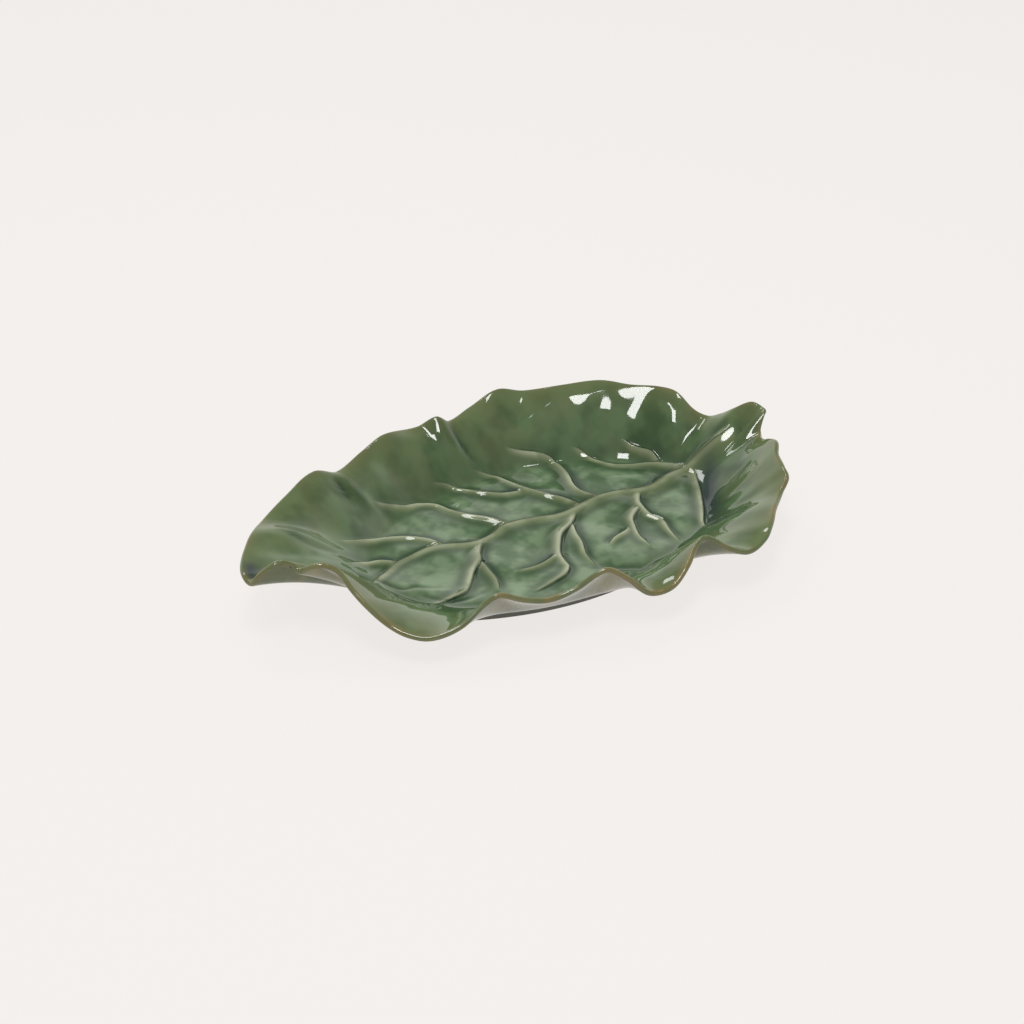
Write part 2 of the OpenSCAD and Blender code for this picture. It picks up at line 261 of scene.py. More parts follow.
def even_line(knots: Array, stations: int, finer: int = 6) -> Array:
    """A smooth line through knots, as stations evenly spread along its length.

    Args:
        knots: Plan points that the line runs through, one to a row.
        stations: How many points the line gets.
        finer: How many times more points its length is measured by.

    Returns:
        The points of the line.
    """
    line = smooth_line(np.arange(len(knots)), knots, np.linspace(0, len(knots) - 1, finer * stations))
    run = np.concatenate([[0.0], np.cumsum(np.linalg.norm(np.diff(line, axis=0), axis=1))])
    even = np.linspace(0, run[-1], stations)
    return np.stack([np.interp(even, run, line[:, 0]), np.interp(even, run, line[:, 1])], axis=1)


def nearest_on(line: Array, spots: Array) -> tuple[Array, Array]:
    """Finds the stations of a line that are nearest to plan points.

    Args:
        line: The stations, one to a row.
        spots: The points, one to a row.

    Returns:
        The number of the nearest station, and the way from it to the point.
    """
    far = (spots**2).sum(-1)[:, None] + (line**2).sum(-1)[None] - 2 * spots @ line.T
    station = np.argmin(far, axis=1)
    return station, spots - line[station]


def round_oval(half_axes: Array, bearing: Array) -> tuple[Array, Array]:
    """Plan x and y of an oval's points at bearings in degrees, from its centre."""
    turn = np.radians(bearing)
    return half_axes[0] * np.cos(turn), half_axes[1] * np.sin(turn)


def at_height(plan: Array, height: Array) -> Array:
    """Plan points raised to heights."""
    return np.concatenate([plan, height[..., None]], axis=-1)


def bell(distance: Array, reach: Array | float) -> Array:
    """A bell curve: 1 at no distance, and about a third at the reach."""
    return np.exp(-((distance / reach) ** 2))


def ramp(value: Array, low: float, high: float) -> Array:
    """A smooth step from 0 at low to 1 at high."""
    u = np.clip((value - low) / (high - low), 0.0, 1.0)
    return u * u * (3 - 2 * u)


def unit(vectors: Array) -> Array:
    """Vectors at length 1."""
    return vectors / np.linalg.norm(vectors, axis=-1, keepdims=True)


@dataclass(frozen=True)
class LeafForm:
    """The blade's smooth body as a height over its plan: flat floor, coved wall and ruffled rim.

    A spoon is a lobe that is shallower than the rest: the bearing of its middle, its span in degrees, and its depth
    as a share of the tallest ruffle.
    """

    length: float = 297.0
    width: float = 187.0
    height: float = 45.0
    wall: float = 4.5
    lip: float = 2.8
    cove: float = 7.0
    belly: float = 0.5
    foot_length: float = 184.0
    foot_width: float = 112.0
    foot_height: float = 6.0
    foot_margin: float = 2.5
    foot_shift: float = 12.0
    ruffle_power: float = 2.2
    calm_bearings: tuple[float, ...] = (-24.0, -12.0, 0.0, 12.0, 24.0)
    spoons: tuple[Way, ...] = ((218.0, 14.0, 0.2), (330.0, 26.0, 0.34))

    @property
    def half_axes(self) -> Array:
        """Half length and half width of the oval that the rim wanders about."""
        return np.array((self.length, self.width)) / 2

    @property
    def floor_axes(self) -> Array:
        """Half length and half width of the flat floor, an oval a margin wider than the foot ring."""
        return np.array((self.foot_length, self.foot_width)) / 2 + self.foot_margin

    @property
    def floor_z(self) -> float:
        """Height of the floor's upper face."""
        return self.foot_height + self.wall

    def plan(self, percent: Points) -> Array:
        """Plan points, from percentages of the half axes counted from the foot's centre."""
        return np.array(percent, float) / 100 * self.half_axes + (self.foot_shift, 0.0)

    def rim(self, bearing: Array) -> tuple[Array, Array]:
        """The rim at a bearing, on the smooth line through its crests and troughs.

        Args:
            bearing: Bearings in degrees.

        Returns:
            Reach as a share of the half axes, and lift as a share of the tallest ruffle.
        """
        turn = np.array((360.0, 0.0, 0.0))
        knots = np.concatenate([RIM[-2:] - turn, RIM, RIM[:2] + turn])
        found = smooth_line(knots[:, 0], knots[:, 1:], np.mod(bearing, 360.0)) / 100
        return found[..., 0], found[..., 1]

    def floor_reach(self, bearing: Array) -> Array:
        """Reach of the flat floor's edge, as a share of the half axes."""
        return 1 / np.hypot(*round_oval(self.half_axes / self.floor_axes, bearing))

    def spots(self, reach: Array, bearing: Array) -> Array:
        """Plan points at reaches and bearings."""
        along, aside = round_oval(self.half_axes, bearing)
        return np.stack([self.foot_shift + reach * along, reach * aside], axis=-1)

    def polar(self, spots: Array) -> tuple[Array, Array]:
        """Where plan points lie on the leaf.

        Args:
            spots: The points.

        Returns:
            Bearings in degrees, and shares of the way from the floor's edge (0) to the rim (1).
        """
        along, aside = np.moveaxis((spots - (self.foot_shift, 0.0)) / self.half_axes, -1, 0)
        bearing = np.degrees(np.arctan2(aside, along))
        floor = self.floor_reach(bearing)
        return bearing, (np.hypot(along, aside) - floor) / (self.rim(bearing)[0] - floor)

    def height_at(self, bearing: Array, share: Array) -> Array:
        """Height of the upper face: a cove that turns into a flaring wall, with ruffles that grow to the rim.

        Spoons are taken off by bell curves of the bearing.

        Args:
            bearing: Bearings in degrees.
            share: Share of the way from the floor's edge to the rim; the floor has 0 or less.

        Returns:
            Heights above the table.
        """
        s = np.clip(share, 0.0, 1.0)
        reach, lift = self.rim(bearing)
        calm = np.mean([self.rim(bearing + step)[1] for step in self.calm_bearings], axis=0)
        for middle, span, depth in self.spoons:
            calm = calm - depth * bell(np.mod(bearing - middle + 180.0, 360.0) - 180.0, span)
        radius = np.hypot(*round_oval(self.half_axes, bearing))
        bend = self.cove / ((reach - self.floor_reach(bearing)) * radius)
        line = (np.hypot(s, bend) - bend) / (np.hypot(1.0, bend) - bend)
        climb = line + self.belly * line * (1 - line)
        return self.floor_z + (self.height - self.floor_z) * (calm * climb + (lift - calm) * s**self.ruffle_power)


class Rib:
    """One rib's line on the plan, with its left-hand side, its width and its height at each station.

    Begun is the share of the rib that shows where it comes out of its parent.
    """

    STATIONS = {Rank.MIDRIB: 280, Rank.SIDE: 130, Rank.FORK: 90}
    TIP_WIDTH = 1.2
    TAPER_POWER = 0.6
    END_REACH = 2.0
    # Shares of its length: where it comes out of its parent, where a free fork rises, and where its height settles
    COMES_OUT = (0.04, 0.13)
    FREE_RISE = (-0.1, 0.5)
    SETTLES = {Rank.MIDRIB: 0.07, Rank.SIDE: 0.2, Rank.FORK: 0.2}
    # Its height at the root, as a share of its parent's
    ROOT_SHARE = 0.9

    def __init__(self, plan: RibPlan, knots: Array, root_height: float) -> None:
        """Keeps the line and works out what goes with it.

        Args:
            plan: Where the rib runs, and how stout it is.
            knots: Plan points from root to tip.
            root_height: Height of the parent at the root, or 0 where the rib starts on its own.
        """
        self.plan = plan
        self.knots = knots
        self.line = even_line(knots, self.STATIONS[plan.rank])
        self.along = unit(np.gradient(self.line, axis=0))
        self.left = np.stack([-self.along[:, 1], self.along[:, 0]], axis=1)
        share = np.linspace(0.0, 1.0, len(self.line))
        width, height = plan.rank.value
        self.begun = ramp(share, *self.COMES_OUT) if plan.parent else np.ones_like(share)
        self.taper = (1 - share) ** self.TAPER_POWER
        if plan.rank is Rank.FORK and not plan.parent:
            self.taper = self.taper * ramp(share, *self.FREE_RISE)
        self.half_width = (self.TIP_WIDTH + (width - self.TIP_WIDTH) * self.taper) / 2
        start = min(1.0, self.ROOT_SHARE * root_height / height)
        self.height = height * self.taper * (start + (1 - start) * ramp(share, 0.0, self.SETTLES[plan.rank]))

    def beside(self, spots: Array) -> tuple[Array, Array, Array]:
        """Places plan points beside the rib.

        Args:
            spots: The points, one to a row.

        Returns:
            Distance from the crest, positive on the crisp side, the place along the rib counted in stations, and a
            share that falls from 1 to 0 for points past the rib's ends.
        """
        station, offset = nearest_on(self.line, spots)
        aside = (offset * self.left[station]).sum(-1)
        past = (offset * self.along[station]).sum(-1)
        ends = (station == 0) | (station == len(self.line) - 1)
        away = np.where(ends, np.copysign(np.linalg.norm(offset, axis=-1), aside), aside)
        place = station + past / np.linalg.norm(self.line[1] - self.line[0])
        return self.plan.crisp.value * away, place, np.where(ends, bell(past, self.END_REACH), 1.0)

    @staticmethod
    def read(values: Array, place: Array) -> Array:
        """Values known at the stations, read at places between them."""
        return np.interp(place, np.arange(len(values)), values)


class Skin:
    """The blade's upper face with all its ribs, creases and unevenness.

    The face is held as layers by name. Swell, valley and groove are what the ribs add to its height and take off, and
    bed is how deep it is sunk under a rib. The glaze layers, in order, are shares of bare crest, of thinned glaze, of
    the dark line along a rib, of pooled glaze, of blue-grey pooled glaze, and of the wall's own glaze. The dark line
    and both pooled layers are partly painted shade, and the thinned glaze near the rim is partly painted sheen.
    Reaches and bands beside a rib are in millimetres, from its crest or from the foot of its soft or its crisp flank.
    """

    FORM = ("swell", "valley", "groove", "bed")
    GLAZE = ("crest", "thin", "line", "pool", "slate_and_shade", "wall")
    LOOK_ROUND = 30.0
    CREASE_STATIONS = 90
    # Flanks in half widths of the rib, and the groove beside its crisp one
    SOFT_SPREAD = 1.6
    CRISP_SPREAD = 0.6
    GROOVE_SPREAD = 2.5
    GROOVE_TIP = 0.3
    # Form: shares of the rib's height, and how far the blade swells to it
    SWELL = 1.25
    SWELL_POWER = 1.4
    SOFT_REACH = 2.0
    SOFT_WIDTHS = 1.8
    MIDRIB_REACH = 4.5
    CRISP_REACH = 0.4
    VALLEY = 0.45
    VALLEY_REACH = 7.0
    GROOVE = Band(0.4, 0.9, 0.5)
    BED = 0.8
    BED_INSIDE = (0.4, 2.0)
    BED_HEIGHT = (0.1, 0.6)
    # Glaze: it shows on ribs of some height, and the midrib has a crest and a line of its own. The dark line, the
    # pooled bands and the blue-grey beside a rib are partly painted shade
    SHOWN = (0.05, 0.8)
    CREST_WIDTHS = 0.7
    CREST_MOST = 1.3
    CREST_REACH = 0.55
    CRISP_CREST = 0.5
    MIDRIB_CREST = Band(-1.5, 1.9, 0.6)
    THIN_REACH = 0.3
    SHADE_LINE = Band(0.2, 0.5)
    MIDRIB_SHADE_LINE = Band(0.0, 0.4)
    CRISP_POOL_SHADE = Band(1.8, 2.7)
    SOFT_POOL_SHADE = Band(2.0, 3.4, 0.8)
    SLATE_SHADE = Band(2.5, 2.4)
    SLATE_SHADE_TAPER = (0.55, 0.95)
    # The wall, by shares of the way up it, and its near side, by the sine of the bearing
    NEAR_SIDE = (-0.5, 0.2)
    WALL_FOOT = (-0.1, 0.15)
    WALL_GLAZE = (-0.3, 0.4)
    # The cove's darker band is pooled glaze and painted shade, stronger on the near side
    COVE_POOL_SHADE = Band(0.12, 0.18)
    COVE_FAR = 0.3
    COVE_NEARER = 0.4
    POOL_SHADE_LOSS = 0.5
    FAR_LOSS = 0.6
    # Lighter thinned glaze towards the rim, which is partly painted sheen
    RIM_THIN_AND_SHEEN = 0.7
    RIM_SHEEN_RISE = (0.55, 1.0)
    RIM_CALMS = (0.75, 1.0)
    # Waves: height, millimetres to a radian along X and Y (or waves round the leaf and lean up the wall), and start
    FLOOR_WAVES: Waves = (
        (0.36, 7.3, 9.1, 0.5), (0.30, 9.7, -6.1, 1.9), (0.22, 5.9, -12.0, 4.0), (0.08, 3.1, 4.3, 2.0))
    WALL_WAVES: Waves = ((0.50, 11, 2.5, 0.7), (0.34, 19, -4.0, 2.1))
    FINE_WAVES: Waves = ((0.16, 31, 7.0, 4.0), (0.08, 47, -9.0, 1.0))
    FAR_SIDE = (-0.4, 0.4)
    NEAR_WAVES = 0.25
    FAR_FADE = (0.6, 1.0)
    NEAR_FADE = (-0.1, 0.35)
    # Brings s * s * (1 - s) to 1 at its highest
    HUMP = 6.75

    def __init__(self, form: LeafForm, plans: tuple[RibPlan, ...], creases: tuple[Crease, ...]) -> None:
        """Lays the ribs out, each on its parent, and draws the creases.

        Args:
            form: The smooth blade that the ribs lie on.
            plans: The ribs, parents first.
            creases: The folds without a rib.
        """
        self.form = form
        self.ribs: dict[str, Rib] = {}
        for plan in plans:
            knots, root_height = form.plan(plan.points), 0.0
            if plan.parent:
                parent = self.ribs[plan.parent]
                last = len(parent.knots) - 1
                root = smooth_line(np.arange(last + 1), parent.knots, np.array([plan.share * last]))
                knots = np.concatenate([root, knots])
                root_height = float(parent.read(parent.height, parent.beside(root)[1])[0])
            self.ribs[plan.name] = Rib(plan, knots, root_height)
        self.creases = [(even_line(form.plan(crease.points), self.CREASE_STATIONS), crease) for crease in creases]

    def at(self, plan: Array) -> dict[str, Array]:
        """The upper face over plan points: the smooth form, with what the ribs and creases do to it.

        Marks of several ribs and creases don't add up: the largest counts. On the wall the ribs' pooled bands, which
        are partly painted shade, and on its far side their grooves too, run out, and the cove has a darker band of
        its own, pooled glaze that is partly painted shade.

        Args:
            plan: Plan points, in rows and columns.

        Returns:
            The layers of the face at each point, with its height.
        """
        spots = plan.reshape(-1, 2)
        layers = {key: np.zeros(len(spots)) for key in self.FORM + self.GLAZE}
        for rib in self.ribs.values():
            near = self.close_to(rib.line, spots)
            self.lay(layers, near, self.rib_marks(rib, spots[near]))
        bearing, share = self.form.polar(spots)
        near_side = 1 - ramp(np.sin(np.radians(bearing)), *self.NEAR_SIDE)
        up_wall = ramp(share, *self.WALL_FOOT)
        for key in ("slate_and_shade", "groove"):
            layers[key] = layers[key] * (1 - self.FAR_LOSS * up_wall * (1 - near_side))
        # A darker band in the cove: pooled glaze and painted shade
        cove = (self.COVE_FAR + self.COVE_NEARER * near_side) * self.COVE_POOL_SHADE.at(share)
        layers["pool"] = np.maximum(layers["pool"] * (1 - self.POOL_SHADE_LOSS * up_wall), cove)
        for line, crease in self.creases:
            near = self.close_to(line, spots)
            self.lay(layers, near, crease.marks(line, spots[near]))
        # Lighter thinned glaze towards the rim: partly painted sheen
        layers["thin"] = np.maximum(layers["thin"], self.RIM_THIN_AND_SHEEN * ramp(share, *self.RIM_SHEEN_RISE))
        layers["wall"] = ramp(share, *self.WALL_GLAZE)
        rise = layers["swell"] - layers["valley"] - layers["groove"] * np.exp(-layers["swell"])
        layers["height"] = (self.form.height_at(bearing, share) + rise * (1 - ramp(share, *self.RIM_CALMS))
                            + self.unevenness(spots, bearing, share))
        return {key: values.reshape(plan.shape[:-1]) for key, values in layers.items()}

    def rib_marks(self, rib: Rib, spots: Array) -> dict[str, Array]:
        """What a rib does to the face around it.

        It lies in a shallow valley, a bell curve of the distance from its crest. In it the blade swells to the rib by
        a falling exponential, wide on the rib's soft side and narrow on its crisp one, and dips in a groove along the
        crisp side. The glaze bares the crest, thins on the flanks and pools on both sides. The pooled bands, the dark
        line and the blue-grey along the crisp side are partly painted shade.

        Args:
            rib: The rib.
            spots: Plan points near it.

        Returns:
            The layers of the face at those points.
        """
        away, place, ends = rib.beside(spots)
        tall, half = rib.read(rib.height, place) * ends, rib.read(rib.half_width, place)
        taper, begun = rib.read(rib.taper, place), rib.read(rib.begun, place)
        soft, sharp = np.maximum(-away, 0.0), np.maximum(away, 0.0)
        foot, brow = self.CRISP_SPREAD * half, self.SOFT_SPREAD * half
        midrib = rib.plan.rank is Rank.MIDRIB
        reach = self.SOFT_REACH + self.SOFT_WIDTHS * half + (self.MIDRIB_REACH if midrib else 0.0)
        fall = np.exp(-((soft / reach) ** self.SWELL_POWER)) * bell(sharp, foot + self.CRISP_REACH)
        inside = np.minimum(brow - soft, foot + self.groove_width(taper) - sharp)
        shown = ramp(tall, *self.SHOWN)
        spread = np.minimum(self.CREST_WIDTHS * half, self.CREST_MOST) + self.CREST_REACH
        bare, mark = bell(soft, spread) * bell(sharp, self.CRISP_CREST * spread), self.SHADE_LINE.at(away - foot)
        if midrib:
            bare, mark = self.MIDRIB_CREST.at(away), self.MIDRIB_SHADE_LINE.at(away)
        deep = rib.plan.crisp.slate_and_shade * ramp(taper, *self.SLATE_SHADE_TAPER)
        return {
            "swell": self.SWELL * tall * fall,
            "valley": self.VALLEY * tall * bell(away, self.VALLEY_REACH + half),
            "groove": begun * tall * self.GROOVE.at(away - foot),
            "bed": self.BED * ramp(inside, *self.BED_INSIDE) * ramp(tall, *self.BED_HEIGHT),
            "crest": begun * shown * bare,
            "thin": shown * bell(soft, brow + self.THIN_REACH) * bell(sharp, foot),
            # Dark line, pooled bands and blue-grey: partly painted shade
            "line": begun * shown * mark,
            "pool": shown * np.maximum(self.CRISP_POOL_SHADE.at(away - foot), self.SOFT_POOL_SHADE.at(-away - brow)),
            "slate_and_shade": deep * begun * shown * self.SLATE_SHADE.at(away - foot),
        }

    @staticmethod
    def lay(layers: dict[str, Array], near: Array, marks: dict[str, Array]) -> None:
        """Lays marks over the layers of the face at some points, where the larger of old and new counts."""
        for key, values in marks.items():
            layers[key][near] = np.maximum(layers[key][near], values)

    def groove_width(self, taper: Array) -> Array:
        """Width of the groove along a rib's crisp side, which narrows as the rib tapers."""
        return self.GROOVE_SPREAD * (self.GROOVE_TIP + (1 - self.GROOVE_TIP) * taper)

    def close_to(self, line: Array, spots: Array) -> Array:
        """Indices of the points in the box around a line."""
        low, high = line.min(0) - self.LOOK_ROUND, line.max(0) + self.LOOK_ROUND
        return np.flatnonzero(np.all((spots > low) & (spots < high), axis=1))

    def unevenness(self, spots: Array, bearing: Array, share: Array) -> Array:
        """Hand-pressed unevenness, from sums of a few waves: long ones on the floor, shorter ones up the wall.

        Args:
            spots: Plan points, one to a row.
            bearing: Bearings in degrees.
            share: Share of the way from the floor's edge to the rim.

        Returns:
            What is added to the height, which dies out at the rim.
        """
        (x, y), turn, s = spots.T, np.radians(bearing), np.clip(share, 0.0, 1.0)
        floor = sum(high * np.sin(x / along + y / aside + start) for high, along, aside, start in self.FLOOR_WAVES)
        wall, fine = (
            sum(high * np.sin(count * turn + lean * s + start) for high, count, lean, start in waves)
            for waves in (self.WALL_WAVES, self.FINE_WAVES))
        far = ramp(np.sin(turn), *self.FAR_SIDE)
        wall = (self.NEAR_WAVES + (1 - self.NEAR_WAVES) * far) * wall + far * fine
        fade = far * (1 - ramp(share, *self.FAR_FADE)) + (1 - far) * (1 - ramp(share, *self.NEAR_FADE))
        return floor * fade + wall * self.HUMP * s * s * (1 - s)


def put_mesh(name: str, rings: Array, poles: Array | None, attributes: dict[str, Array],
             normals: Array | None = None) -> bpy.types.Object:
    """Makes a closed skin from rings of points, each ring closed.

    Faces look outwards where the rings run away from the first pole and their points run counter-clockwise about
    that direction of travel.

    Args:
        name: Name of the piece.
        rings: Points in millimetres, ring by ring.
        poles: The two points that close the ends, or None where the last ring joins the first.
        attributes: Values for each point of the rings, which the poles take from the rings next to them.
        normals: Directions to shade the points of the rings by, or None for the mesh's own.

    Returns:
        The new object, in the scene.
    """
    count, around = rings.shape[:2]
    points = rings.reshape(-1, 3)
    first = np.arange(count if poles is None else count - 1)[:, None] * around
    a = first + np.arange(around)[None]
    b = first + np.roll(np.arange(around), -1)[None]
    total = count * around
    faces = np.stack([a, (a + around) % total, (b + around) % total, b], axis=-1).reshape(-1, 4).tolist()
    if poles is not None:
        points = np.concatenate([points, poles])
        edge = np.arange(around)
        after = np.roll(edge, -1)
        last = total - around
        faces += np.stack([np.full(around, total), edge, after], axis=-1).tolist()
        faces += np.stack([last + edge, np.full(around, total + 1), last + after], axis=-1).tolist()
    mesh = bpy.data.meshes.new(name)
    mesh.from_pydata((points * MM).tolist(), [], faces)
    mesh.polygons.foreach_set("use_smooth", np.ones(len(mesh.polygons), bool))
    for key, values in attributes.items():
        flat = values.reshape(-1)
        if poles is not None:
            flat = np.concatenate([flat, [values[0].mean(), values[-1].mean()]])
        mesh.attributes.new(key, "FLOAT", "POINT").data.foreach_set("value", flat.astype(np.float32))
    mesh.update()
    if normals is not None:
        ends = unit(normals[[0, -1]].sum(axis=1))
        mesh.normals_split_custom_set_from_vertices(np.concatenate([normals.reshape(-1, 3), ends]).tolist())
    return put_object(name, mesh)


def put_object(name: str, data: Any, location: Vector | None = None, ahead: Vector | None = None) -> bpy.types.Object:
    """Puts an object in the scene.

    Args:
        name: Its name.
        data: Its mesh, lamp or camera.
        location: Where it stands, in metres, or None for the origin.
        ahead: The way that a lamp or camera looks.

    Returns:
        The object.
    """
    thing = bpy.data.objects.new(name, data)
    if location is not None and ahead is not None:
        thing.location = location
        thing.rotation_mode = "QUATERNION"
        thing.rotation_quaternion = ahead.to_track_quat("-Z", "Y")
    bpy.context.scene.collection.objects.link(thing)
    return thing


def way_to(bearing: float, elevation: float) -> Vector:
    """The way to a bearing, counted from +Y towards +X, and an elevation, both in degrees."""
    turn, tilt = np.radians((bearing, elevation))
    return Vector((np.sin(turn) * np.cos(tilt), np.cos(turn) * np.cos(tilt), np.sin(tilt)))


def linear(colour: str) -> tuple[float, ...]:
    """An sRGB hex colour as linear red, green, blue and alpha."""
    parts = np.array([int(colour[i:i + 2], 16) for i in (1, 3, 5)]) / 255
    return (*np.where(parts <= 0.04045, parts / 12.92, ((parts + 0.055) / 1.055) ** 2.4).tolist(), 1.0)


def empty_tree(owner: bpy.types.Material | bpy.types.World) -> Tree:
    """Empties the node tree of a material or a world.

    Args:
        owner: The material or world.

    Returns:
        Its tree, without nodes.
    """
    owner.use_nodes = True
    owner.node_tree.nodes.clear()
    return owner.node_tree


def add_node(tree: Tree, kind: str, settings: dict[str, Any] | None = None,
             inputs: dict[int | str, Any] | None = None) -> bpy.types.Node:
    """Adds a node to a tree.

    Args:
        tree: The node tree.
        kind: Blender's name of the node type.
        settings: Properties of the node.
        inputs: Values or output sockets for its inputs, by name or by index.

    Returns:
        The node.
    """
    node = tree.nodes.new(kind)
    for key, value in (settings or {}).items():
        setattr(node, key, value)
    for key, value in (inputs or {}).items():
        if isinstance(value, bpy.types.NodeSocket):
            tree.links.new(value, node.inputs[key])
        else:
            node.inputs[key].default_value = value
    return node


@dataclass(frozen=True)
class Clouds:
    """Cloudy noise with soft edges, by the size of its clouds, its finer layers, and the levels that give 0 and 1."""

    size_mm: float
    detail: float
    low: float
    high: float
    roughness: float = 0.55

    def build(self, tree: Tree, place: Socket) -> Socket:
        """Adds its nodes to a tree, which read coordinates, and gives the socket of its value."""
        noise = add_node(tree, "ShaderNodeTexNoise", {}, {
            "Vector": place, "Scale": 1 / (self.size_mm * MM), "Detail": self.detail, "Roughness": self.roughness})
        return add_node(tree, "ShaderNodeMapRange", {"interpolation_type": "SMOOTHSTEP"}, {
            "Value": noise.outputs["Fac"], "From Min": self.low, "From Max": self.high}).outputs[0]


@dataclass(frozen=True)
class Coat:
    """A colour that is laid over others where a level shows it.

    Its amount is the level, times its strength, times a second level, if it has one, that is raised by a least share.
    """

    colour: str
    level: str
    second: str = ""
    least: float = 0.0
    strength: float = 1.0

    def amount(self, tree: Tree, levels: dict[str, Socket]) -> Socket:
        """Adds the nodes that work out its amount.

        Args:
            tree: The node tree.
            levels: Sockets of the levels, by name.

        Returns:
            The socket of the amount.
        """
        factors: list[Socket | float] = [self.strength]
        if self.second:
            factors.append(add_node(tree, "ShaderNodeMath", {"operation": "ADD", "use_clamp": True}, {
                0: levels[self.second], 1: self.least}).outputs[0])
        amount = levels[self.level]
        for factor in factors:
            amount = add_node(tree, "ShaderNodeMath", {"operation": "MULTIPLY"}, {0: amount, 1: factor}).outputs[0]
        return amount


def paint(tree: Tree, levels: dict[str, Socket], body: Any, coats: tuple[Coat, ...]) -> Socket:
    """Lays coats over a colour, one after another.

    Args:
        tree: The node tree.
        levels: Sockets of the levels that the coats read, by name.
        body: The colour, or its socket.
        coats: The coats, the lowest first.

    Returns:
        The socket of the painted colour.
    """
    for coat in coats:
        body = add_node(tree, "ShaderNodeMix", {"data_type": "RGBA"}, {
            0: coat.amount(tree, levels), 6: body, 7: linear(coat.colour)}).outputs[2]
    return body


@dataclass(frozen=True)
class ReactiveGlaze:
    """Glossy green glaze on cast stoneware.

    A glassy coat that runs while it melts: it pools dark and blue-grey in the creases, and thins to olive on the
    veins' flanks, to the buff clay on their crests, and to brown at the rim. The dark pooled glaze, the blue-grey and
    the dark lines, which also lose their shine, are partly painted shade; the lighter olive near the rim is partly
    painted sheen.
    """

    ATTRIBUTES = (*Skin.GLAZE, "edge", "under")

    name: str = "green_reactive_glaze_on_stoneware"
    cloud: Clouds = Clouds(13.0, 2.0, 0.36, 0.64)
    mottle: Clouds = Clouds(22.0, 2.0, 0.42, 0.64)
    streak: Clouds = Clouds(17.0, 2.5, 0.38, 0.66)
    stretch: Way = (1.0, 1.0, 0.4)
    # Deep floor, then pale floor, wall, dark streaks, olive patches, pooled glaze that is partly painted shade,
    # thinned glaze that is partly painted sheen near the rim, and blue-grey pooled glaze that is partly painted shade
    floor: str = "#506a4a"
    face: tuple[Coat, ...] = (
        Coat("#7a9270", "cloud"),
        Coat("#5e7750", "wall"),
        Coat("#3c5333", "streak", "wall", 0.2, 0.85),
        Coat("#6b7350", "mottle", "wall", 0.0, 0.5),
        Coat("#344d31", "pool"),
        Coat("#6b744c", "thin", strength=0.8),
        Coat("#2f3b3d", "slate_and_shade"),
    )
    under: str = "#66704e"
    underside: tuple[Coat, ...] = (Coat("#858259", "mottle"), Coat("#3c5333", "cloud", strength=0.3))
    crest: Coat = Coat("#a6ae90", "crest", "mottle", 0.45)
    # Dark line along the ribs and in creases: painted shade, partly pooled glaze
    line: Coat = Coat("#1f3326", "line", "streak", 0.6)
    rim: Coat = Coat("#7d764e", "edge", "streak", 0.2)
    ripple_mm: float = 9.0
    ripple_detail: float = 1.0
    ripple_depth_mm: float = 0.015
    roughness: float = 0.05
    ior: float = 1.5
    shine: float = 0.5
    # Less shine along the dark lines, as part of the painted shade
    shade_line_shine: float = 0.1

    def build(self) -> bpy.types.Material:
        """Builds the material, which reads the attributes listed above.

        Returns:
            The material.
        """
        material = bpy.data.materials.new(self.name)
        tree = empty_tree(material)
        coordinates = add_node(tree, "ShaderNodeTexCoord").outputs["Object"]
        place = add_node(tree, "ShaderNodeMapping", {}, {"Vector": coordinates, "Scale": self.stretch}).outputs[0]
        levels = {
            key: add_node(tree, "ShaderNodeAttribute", {"attribute_name": key}).outputs["Fac"]
            for key in self.ATTRIBUTES
        }
        for key, clouds in (("cloud", self.cloud), ("mottle", self.mottle), ("streak", self.streak)):
            levels[key] = clouds.build(tree, place)
        upper = paint(tree, levels, linear(self.floor), self.face)
        beneath = paint(tree, levels, linear(self.under), self.underside)
        body = add_node(tree, "ShaderNodeMix", {"data_type": "RGBA"}, {0: levels["under"], 6: upper, 7: beneath})
        colour = paint(tree, levels, body.outputs[2], (self.crest, self.line, self.rim))
        ripple = add_node(tree, "ShaderNodeTexNoise", {}, {
            "Vector": place, "Scale": 1 / (self.ripple_mm * MM), "Detail": self.ripple_detail})
        bump = add_node(tree, "ShaderNodeBump", {}, {
            "Strength": 1.0, "Distance": self.ripple_depth_mm * MM, "Height": ripple.outputs["Fac"]})
        # Painted shade: the dark lines lose their shine
        shine = add_node(tree, "ShaderNodeMapRange", {}, {
            "Value": self.line.amount(tree, levels), "To Min": self.shine, "To Max": self.shade_line_shine})
        glaze = add_node(tree, "ShaderNodeBsdfPrincipled", {}, {
            "Base Color": colour, "Roughness": self.roughness, "IOR": self.ior, "Normal": bump.outputs[0],
            "Specular IOR Level": shine.outputs[0]})
        add_node(tree, "ShaderNodeOutputMaterial", {}, {"Surface": glaze.outputs[0]})
        return material


